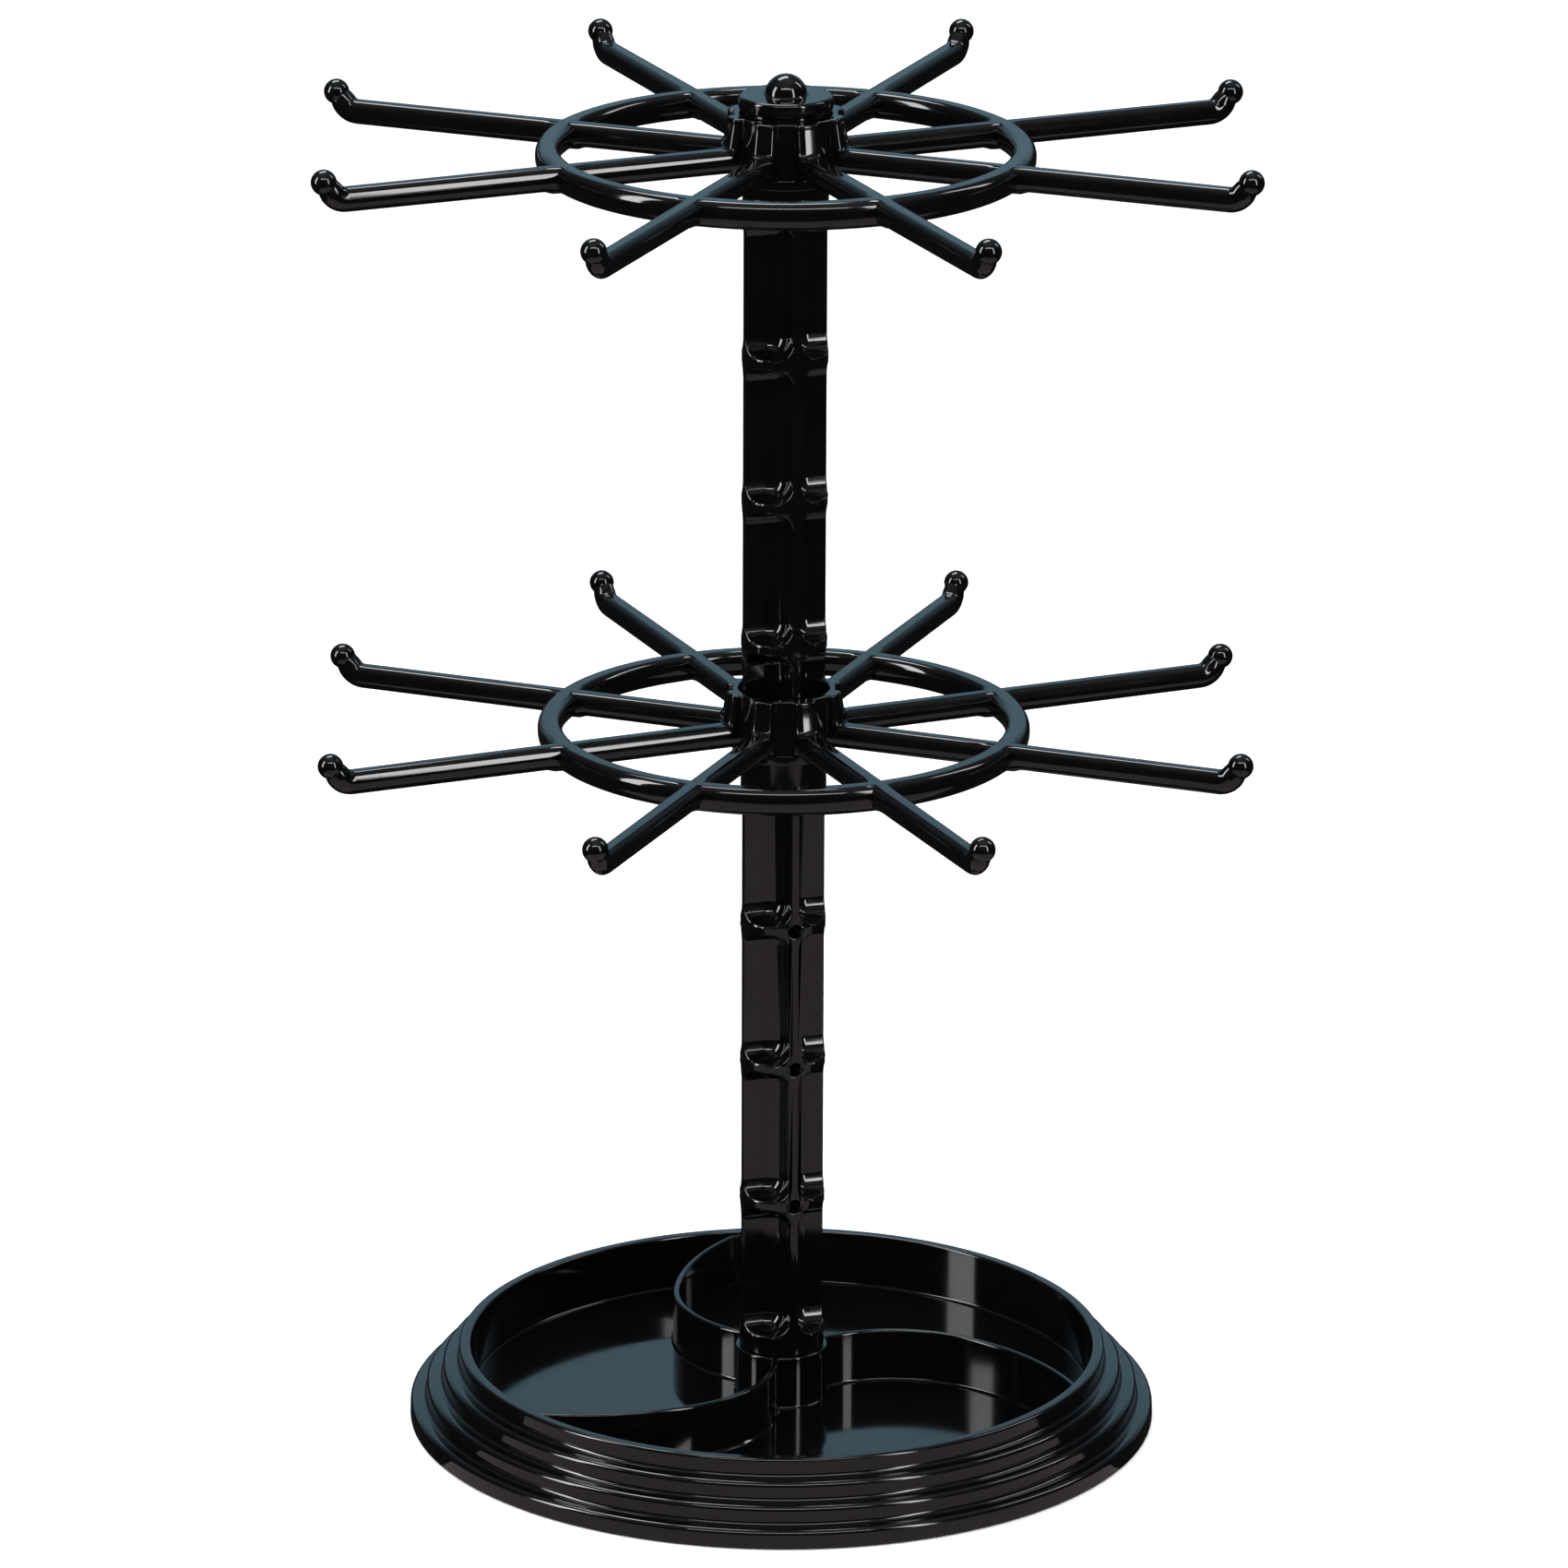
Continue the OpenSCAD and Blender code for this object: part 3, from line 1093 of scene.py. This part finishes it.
    def soften_top(self, wheel: bpy.types.Object, low: float, inset: float, drop: float) -> None:
        """Rounds the top's rim by insetting it upwards.

        Args:
            wheel: The wheel in edit mode.
            low: Height of the plan.
            inset: How far in the rounding reaches.
            drop: How far down it starts.
        """
        pick(wheel, Part.FACE, lambda f: f.normal.z > 0.9 and f.calc_center_median().z > (low - 0.1) * MM)
        steps = 4 if inset < 1.0 else 8
        last_in = 0.0
        last_up = 0.0
        for step in range(1, steps + 1):
            angle = math.radians(90.0) * step / steps
            inward = inset * (1 - math.cos(angle))
            up = drop * math.sin(angle)
            bpy.ops.mesh.inset(
                thickness=(inward - last_in) * MM,
                depth=(up - last_up) * MM,
                use_even_offset=True,
            )
            last_in = inward
            last_up = up

    def drop_ring(self, wheel: bpy.types.Object) -> None:
        """Deepens the ring below the arms' undersides."""
        def is_under_ring(vert: bmesh.types.BMVert) -> bool:
            """Whether a vertex is on the lower half of the ring."""
            on_ring = self.ring_inner - 0.1 < axis_distance(vert.co) < self.ring_outer + 0.1
            return on_ring and vert.co.z < (self.half_w - 0.01) * MM

        pick(wheel, Part.VERT, is_under_ring)
        stretch = (self.half_w + self.ring_drop) / self.half_w
        bpy.ops.transform.resize(value=(1.0, 1.0, stretch), center_override=(0.0, 0.0, self.half_w * MM))

    def cut_ends(self, wheel: bpy.types.Object) -> None:
        """Cuts every arm flat where its hook starts and where its hub stands."""
        for turn in around(self.arms):
            along = turn.to_3x3() @ Vector((1.0, 0.0, 0.0))
            for place, inside in ((self.bend_x, False), (self.root_x, True)):
                def is_near(face: bmesh.types.BMFace) -> bool:
                    """Whether a face belongs to this end of this arm."""
                    spots = [vert.co for vert in face.verts]
                    side = along.cross(Vector(UP))
                    return all(abs(spot.dot(side)) < 3.4 * MM and spot.dot(along) > 8 * MM for spot in spots)

                pick(wheel, Part.FACE, is_near)
                bpy.ops.mesh.bisect(
                    plane_co=along * place * MM,
                    plane_no=along,
                    use_fill=True,
                    clear_inner=inside,
                    clear_outer=not inside,
                )

    def hooks(self, wheel: bpy.types.Object) -> None:
        """Bends each arm's flat end up into a hook."""
        rise = math.radians(self.hook_rise)
        for turn in around(self.arms):
            along = turn.to_3x3() @ Vector((1.0, 0.0, 0.0))
            across = turn.to_3x3() @ Vector((0.0, -1.0, 0.0))
            bend = along * self.bend_x * MM + Vector((0.0, 0.0, (self.half_w + self.bend_radius) * MM))
            aim = along * math.cos(rise) + Vector((0.0, 0.0, math.sin(rise)))
            with editing(wheel):
                limit = (self.bend_x - 0.1) * MM
                pick(
                    wheel, Part.FACE,
                    lambda f: f.normal.dot(along) > 0.99 and f.calc_center_median().dot(along) > limit,
                )
                swing(10, rise, bend, across)
                end = bend + along * self.bend_radius * math.sin(rise) * MM
                end.z -= self.bend_radius * math.cos(rise) * MM
                for reach, scale in ((0.35, 0.95), (0.7, 0.9), (1.0, 0.88)):
                    tip = end + aim * self.hook_len * reach * MM
                    extrude_by(aim * self.hook_len * 0.33 * MM)
                    bpy.ops.transform.resize(value=(scale, scale, scale), center_override=tip)

    def balls(self) -> bpy.types.Object:
        """The ball ends of all the hooks."""
        rise = math.radians(self.hook_rise)
        reach = self.bend_x + self.bend_radius * math.sin(rise) + self.hook_len * math.cos(rise)
        height = self.half_w + self.bend_radius * (1 - math.cos(rise)) + self.hook_len * math.sin(rise)
        clear_selection()
        bpy.ops.mesh.primitive_uv_sphere_add(segments=40, ring_count=24, radius=self.ball_radius * MM)
        ball = bpy.context.object
        places = [
            turn
            @ Matrix.Translation((reach * MM, 0.0, height * MM))
            @ Matrix.Rotation(math.pi / 2 - rise, 4, "Y")
            for turn in around(self.arms)
        ]
        return copies(ball, places)

    def hub(self) -> bpy.types.Object:
        """The hub: a sleeve with a buttress over the root of every arm.

        Returns:
            The closed solid.
        """
        top = self.hub_h - self.edge
        half = self.half_w - 0.1
        sector = self.sector_arc(self.hub_radius, half, top, 2)
        with editing(sector):
            bpy.ops.mesh.select_all(action="SELECT")
            bpy.ops.mesh.extrude_edges_move()
            scale = self.bore / self.hub_radius
            bpy.ops.transform.resize(value=(scale, scale, 1.0), center_override=ORIGIN)
            self.pull(sector, self.hub_radius, self.tooth_top, half - 0.15, level=True)
        hub = self.spread(sector)

        def down(to_z: float, from_z: float, grow: float) -> None:
            """Draws the bottom faces down and pushes the buttresses' feet out."""
            extrude_by((0.0, 0.0, (to_z - from_z) * MM))
            limit = (self.hub_radius + 0.7) * MM
            level = (to_z + 0.01) * MM
            pick(hub, Part.VERT, lambda v: v.co.z < level and math.hypot(v.co.x, v.co.y) > limit)
            bpy.ops.transform.resize(value=(grow, grow, 1.0), center_override=ORIGIN)
            pick(hub, Part.FACE, lambda f: f.normal.z < -0.5 and f.calc_center_median().z < level)

        with editing(hub):
            bpy.ops.mesh.select_all(action="SELECT")
            extrude_by((0.0, 0.0, -1.2 * MM))
            close_seams()
            pick(hub, Part.EDGE, lambda e: self.is_buttress_corner(e, self.hub_radius))
            bpy.ops.mesh.bevel(offset=0.4 * MM, segments=3, clamp_overlap=False)
            pick(hub, Part.EDGE, lambda e: self.is_buttress_corner(e, self.tooth_top))
            bpy.ops.mesh.bevel(offset=1.45 * MM, segments=6, clamp_overlap=False)
            pick(hub, Part.FACE, lambda f: f.normal.z < -0.9)
            foot = self.arm_h
            down(foot + 1.0, top - 1.2, self.tooth_foot / self.tooth_top)
            down(foot + 0.35, foot + 1.0, 1.018)
            down(foot + 0.05, foot + 0.35, 1.03)
            down(self.half_w, foot + 0.05, 1.0)
            limit = (self.hub_radius + 0.2) * MM
            pick(
                hub, Part.FACE,
                lambda f: f.normal.z < -0.5
                and all(math.hypot(v.co.x, v.co.y) < limit for v in f.verts),
            )
            extrude_by((0.0, 0.0, -self.half_w * MM))
            pick(hub, Part.VERT, lambda v: v.co.z > (top - 0.1) * MM and self.is_stray(v))
            bpy.ops.mesh.dissolve_verts()
            self.soften_top(hub, top, self.edge, self.edge)
            close_seams()
        return hub

    def is_buttress_corner(self, edge: bmesh.types.BMEdge, reach: float) -> bool:
        """Whether an upright edge is a buttress's corner at a distance from the axis, in millimetres."""
        first, second = (vert.co for vert in edge.verts)
        if abs(first.z - second.z) < 0.2 * MM:
            return False
        radius = axis_distance(first)
        offset = math.sin(self.off_centre(first)) * radius
        return reach - 0.1 < radius < reach + 0.6 and abs(offset - self.half_w) < 0.4

    def build(self) -> bpy.types.Object:
        """Models the wheel as one moulding and puts it in its place.

        Returns:
            The finished wheel.
        """
        wheel = self.web()
        self.hooks(wheel)
        with editing(wheel):
            close_seams()
        combine(wheel, self.hub(), "UNION")
        combine(wheel, self.balls(), "UNION")
        wheel.name = self.name
        wheel.rotation_euler.z = math.radians(self.turn)
        wheel.location.z = self.bottom_z * MM
        settle(wheel)
        smooth(wheel, 38.0)
        return wheel


# ----------------------------------------------------------- cap and fixings


@dataclass
class Fixings:
    """The domed cap, the base screw and its washer. Sizes are in millimetres."""

    cap_z: float = 342.3
    cap_radius: float = 11.7
    cap_t: float = 3.6
    dome_radius: float = 5.25
    dome_lift: float = -0.1
    dome_steps: int = 20
    plug_radius: float = 4.0
    plug_h: float = 9.0
    washer_z: float = 5.0
    washer_t: float = 0.8
    washer_radius: float = 5.2
    screw_radius: float = 2.0
    head_radius: float = 3.9
    head_h: float = 2.0
    screw_len: float = 13.0

    def cap(self) -> bpy.types.Object:
        """The cap: a disc with a dome knob above and a plug below."""
        z = self.cap_z
        top = z + self.cap_t
        centre = top + self.dome_lift
        profile = rounded([
            (0.0, z - self.plug_h, 0.0), (self.plug_radius, z - self.plug_h, 0.6), (self.plug_radius, z, 0.3),
            (self.cap_radius, z, 0.6), (self.cap_radius, top, 0.9), (self.dome_radius + 0.35, top, 0.0),
        ], 5)
        start = math.asin(-self.dome_lift / self.dome_radius) + math.radians(4.0)
        for step in range(self.dome_steps + 1):
            angle = start + (math.pi / 2 - start) * step / self.dome_steps
            height = centre + self.dome_radius * math.sin(angle)
            profile.append((self.dome_radius * math.cos(angle) * MM, height * MM))
        cap = turned("top_cap_visual", profile, 96, closed=False)
        smooth(cap)
        return cap

    def screw(self) -> bpy.types.Object:
        """The screw: a turned head and shank with a cross recess."""
        low = self.washer_z - self.head_h
        profile = rounded([
            (0.0, low, 0.0), (self.head_radius - 0.1, low, 0.7),
            (self.head_radius - 0.1, self.washer_z, 0.15),
            (self.screw_radius, self.washer_z, 0.2), (self.screw_radius, low + self.screw_len, 0.2),
            (0.6, low + self.screw_len + 1.6, 0.2), (0.0, low + self.screw_len + 1.6, 0.0),
        ])
        screw = turned("base_screw_visual", profile, 64, closed=False)
        for scale in ((3.8, 0.8, 2.0), (0.8, 3.8, 2.0)):
            clear_selection()
            bpy.ops.mesh.primitive_cube_add(
                size=1.0,
                location=(0.0, 0.0, low * MM),
                scale=tuple(side * MM for side in scale),
            )
            blade = bpy.context.object
            settle(blade)
            with editing(blade):
                pick(blade, Part.EDGE, lambda e: all(vert.co.z > low * MM for vert in e.verts))
                bpy.ops.mesh.bevel(offset=0.25 * MM, segments=3)
            combine(screw, blade, "DIFFERENCE")
        smooth(screw)
        return screw

    def washer(self) -> bpy.types.Object:
        """The plain washer under the screw's head."""
        z = self.washer_z
        inner = self.screw_radius + 0.2
        washer = turned("base_washer_visual", rounded([
            (inner, z, 0.12), (self.washer_radius, z, 0.2),
            (self.washer_radius, z + self.washer_t, 0.2), (inner, z + self.washer_t, 0.12),
        ]), 72)
        smooth(washer)
        return washer


# -------------------------------------------------------------------- studio


@dataclass(frozen=True)
class Softbox:
    """One soft rectangular light that faces the rack.

    Attributes:
        azimuth: Direction from the rack, in degrees from +X.
        elevation: Degrees above the floor.
        distance: Metres from the rack.
        size: Width and height, in metres.
        power: Watts.
    """

    azimuth: float
    elevation: float
    distance: float
    size: Point
    power: float


SOFTBOXES = (
    Softbox(197.0, 22.0, 1.7, (0.34, 1.3), 17.0),
    Softbox(-47.0, 22.0, 1.7, (0.20, 1.3), 10.0),
    Softbox(-90.0, 48.0, 1.7, (1.5, 0.10), 7.5),
    Softbox(20.0, 40.0, 1.8, (0.22, 0.8), 4.0),
    Softbox(110.0, 62.0, 1.8, (1.0, 0.5), 14.0),
)
COOL_SKY: Sky = (
    (0.0, (0.012, 0.011, 0.012)), (0.49, (0.02, 0.019, 0.02)), (0.53, (0.05, 0.06, 0.07)),
    (0.60, (0.24, 0.41, 0.52)), (0.68, (0.30, 0.50, 0.62)), (0.78, (0.10, 0.14, 0.17)),
    (1.0, (0.35, 0.37, 0.4)),
)
DIM_SKY: Sky = (
    (0.0, (0.012, 0.011, 0.012)), (0.50, (0.012, 0.012, 0.013)), (0.62, (0.02, 0.021, 0.023)),
    (0.72, (0.04, 0.042, 0.045)), (0.84, (0.10, 0.105, 0.11)), (1.0, (0.35, 0.37, 0.4)),
)


@dataclass
class Studio:
    """Plain pale floor, soft light and the camera.

    Attributes:
        lens: Focal length, in millimetres.
        camera_place: Where the camera stands, in metres.
        pitch: How far it looks down, in degrees.
        yaw: How far it turns to the left, in degrees.
        roll: How far it rolls, in degrees.
        aim_height: Height that the softboxes face, in metres.
        table_place: Centre of the table top, in metres.
        table_scale: Its width and depth as shares of a metre.
        behind: Where the cool sky fades in towards the back, from 0 to 1.
    """

    lens: float = 220.504
    camera_place: Corner = (0.00818, -2.295017, 0.906016)
    pitch: float = 17.8236
    yaw: float = 0.2011
    roll: float = 0.2113
    aim_height: float = 0.17
    table_place: Corner = (0.05, -0.28, -0.0006)
    table_scale: Corner = (0.72, 0.48, 1.0)
    behind: Point = (0.6, 0.93)

    def camera(self) -> None:
        """Stands the camera at the viewing angle."""
        data = bpy.data.cameras.new("camera")
        data.lens = self.lens
        data.sensor_width = 36.0
        data.clip_end = 50.0
        camera = bpy.data.objects.new("camera", data)
        bpy.context.scene.collection.objects.link(camera)
        pitch = Matrix.Rotation(math.radians(90.0 - self.pitch), 4, "X")
        yaw = Matrix.Rotation(math.radians(self.yaw), 4, "Z")
        roll = Matrix.Rotation(math.radians(self.roll), 4, "Z")
        camera.matrix_world = Matrix.Translation(self.camera_place) @ yaw @ pitch @ roll
        bpy.context.scene.camera = camera

    def sheet(self, name: str, size: float, height: float) -> bpy.types.Object:
        """A flat square sheet of the studio, level with the floor."""
        clear_selection()
        bpy.ops.mesh.primitive_plane_add(size=size, location=(0.0, 0.0, height))
        sheet = bpy.context.object
        sheet.name = name
        return sheet

    def floor(self) -> None:
        """The pale floor, and the table top that only reflections see."""
        floor = self.sheet("floor", 16.0, -0.0002)
        floor.visible_glossy = False
        floor.data.materials.append(self.matte("floor_white", (0.93, 0.93, 0.93)))
        table = self.sheet("table_top", 1.0, self.table_place[2])
        table.location = self.table_place
        table.scale = self.table_scale
        table.visible_camera = False
        table.visible_diffuse = False
        table.visible_shadow = False
        table.data.materials.append(self.glow("table_glow", (0.50, 0.43, 0.42), 0.9))

    def matte(self, name: str, tone: Colour) -> bpy.types.Material:
        """A plain matt finish for the floor."""
        material = bpy.data.materials.new(name)
        material.use_nodes = True
        shader = material.node_tree.nodes["Principled BSDF"]
        shader.inputs["Base Color"].default_value = (*tone, 1.0)
        shader.inputs["Roughness"].default_value = 1.0
        shader.inputs["Specular IOR Level"].default_value = 0.0
        return material

    def glow(self, name: str, tone: Colour, strength: float) -> bpy.types.Material:
        """A plain glowing card finish."""
        material = bpy.data.materials.new(name)
        material.use_nodes = True
        tree = material.node_tree
        tree.nodes.clear()
        output = tree.nodes.new("ShaderNodeOutputMaterial")
        emission = tree.nodes.new("ShaderNodeEmission")
        emission.inputs["Color"].default_value = (*tone, 1.0)
        emission.inputs["Strength"].default_value = strength
        tree.links.new(emission.outputs["Emission"], output.inputs["Surface"])
        return material

    def softbox(self, box: Softbox) -> None:
        """Hangs one softbox in its place, facing the rack."""
        data = bpy.data.lights.new("softbox", "AREA")
        data.shape = "RECTANGLE"
        data.size, data.size_y = box.size
        data.energy = box.power
        light = bpy.data.objects.new("softbox", data)
        bpy.context.scene.collection.objects.link(light)
        turn, lift = math.radians(box.azimuth), math.radians(box.elevation)
        aim = Vector((math.cos(turn) * math.cos(lift), math.sin(turn) * math.cos(lift), math.sin(lift)))
        light.location = aim * box.distance + Vector((0.0, 0.0, self.aim_height))
        light.rotation_euler = aim.to_track_quat("Z", "Y").to_euler()

    def world(self) -> None:
        """White to the camera. In reflections it is dim, with a cool band at the back."""
        world = bpy.data.worlds.new("studio")
        bpy.context.scene.world = world
        world.use_nodes = True
        tree = world.node_tree
        tree.nodes.clear()
        output = tree.nodes.new("ShaderNodeOutputWorld")
        place = tree.nodes.new("ShaderNodeTexCoord")
        split = tree.nodes.new("ShaderNodeSeparateXYZ")
        spread = tree.nodes.new("ShaderNodeMapRange")
        spread.inputs["From Min"].default_value = -1.0
        side = tree.nodes.new("ShaderNodeMix")
        side.data_type = "RGBA"
        for stops, socket in ((DIM_SKY, side.inputs[6]), (COOL_SKY, side.inputs[7])):
            ramp = tree.nodes.new("ShaderNodeValToRGB")
            while len(ramp.color_ramp.elements) < len(stops):
                ramp.color_ramp.elements.new(0.5)
            for element, (place_at, colour) in zip(ramp.color_ramp.elements, stops):
                element.position = place_at
                element.color = (*colour, 1.0)
            tree.links.new(spread.outputs["Result"], ramp.inputs["Fac"])
            tree.links.new(ramp.outputs["Color"], socket)
        behind = tree.nodes.new("ShaderNodeMapRange")
        behind.interpolation_type = "SMOOTHSTEP"
        behind.inputs["From Min"].default_value, behind.inputs["From Max"].default_value = self.behind
        tree.links.new(place.outputs["Generated"], split.inputs["Vector"])
        tree.links.new(split.outputs["Z"], spread.inputs["Value"])
        tree.links.new(split.outputs["Y"], behind.inputs["Value"])
        tree.links.new(behind.outputs["Result"], side.inputs[0])
        around = tree.nodes.new("ShaderNodeBackground")
        tree.links.new(side.outputs[2], around.inputs["Color"])
        white = tree.nodes.new("ShaderNodeBackground")
        white.inputs["Color"].default_value = (1.0, 1.0, 1.0, 1.0)
        path = tree.nodes.new("ShaderNodeLightPath")
        mix = tree.nodes.new("ShaderNodeMixShader")
        tree.links.new(path.outputs["Is Glossy Ray"], mix.inputs["Fac"])
        tree.links.new(white.outputs["Background"], mix.inputs[1])
        tree.links.new(around.outputs["Background"], mix.inputs[2])
        tree.links.new(mix.outputs["Shader"], output.inputs["Surface"])

    def build(self) -> None:
        """Sets up camera, floor, lights and world."""
        bpy.context.scene.view_settings.view_transform = "Standard"
        self.camera()
        self.floor()
        self.world()
        for box in SOFTBOXES:
            self.softbox(box)


def main() -> None:
    """Builds every piece, dresses it and sets the studio."""
    logging.basicConfig(level=logging.INFO, format="%(message)s")
    skin = GlossAbs("gloss_black")
    tray_skin = GlossAbs("gloss_black_tray", scuff_height=0.004)
    plate = ZincSteel().make()
    plastic = skin.make()

    tray = TrayBase()
    divider_nodes = [f"tray_divider_{index + 1}" for index in range(tray.divider_count)]
    dress(
        tray.build(), tray_skin.make(), Body.STAND,
        ["tray_skirt", "tray_floor", "tray_socket", *divider_nodes],
    )

    column = Column()
    dress(column.lower().build(), plastic, Body.STAND, ["column_lower"])
    dress(column.upper().build(), plastic, Body.STAND, ["column_upper"])

    for tier, body in (("middle", Body.MIDDLE), ("top", Body.TOP)):
        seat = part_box(f"{tier}_hub")[0][2] / MM
        wheel = Wheel(f"{tier}_wheel_visual", seat, 23.4)
        nodes = [f"{tier}_hub", f"{tier}_ring"]
        nodes += [f"{tier}_arm_{index + 1}" for index in range(wheel.arms)]
        dress(wheel.build(), plastic, body, nodes)

    fixings = Fixings()
    dress(fixings.cap(), plastic, Body.STAND, ["top_cap"])
    dress(fixings.screw(), plate, Body.STAND, ["base_screw"])
    dress(fixings.washer(), plate, Body.STAND, ["base_washer"])

    Studio().build()


if __name__ == "__main__":
    main()
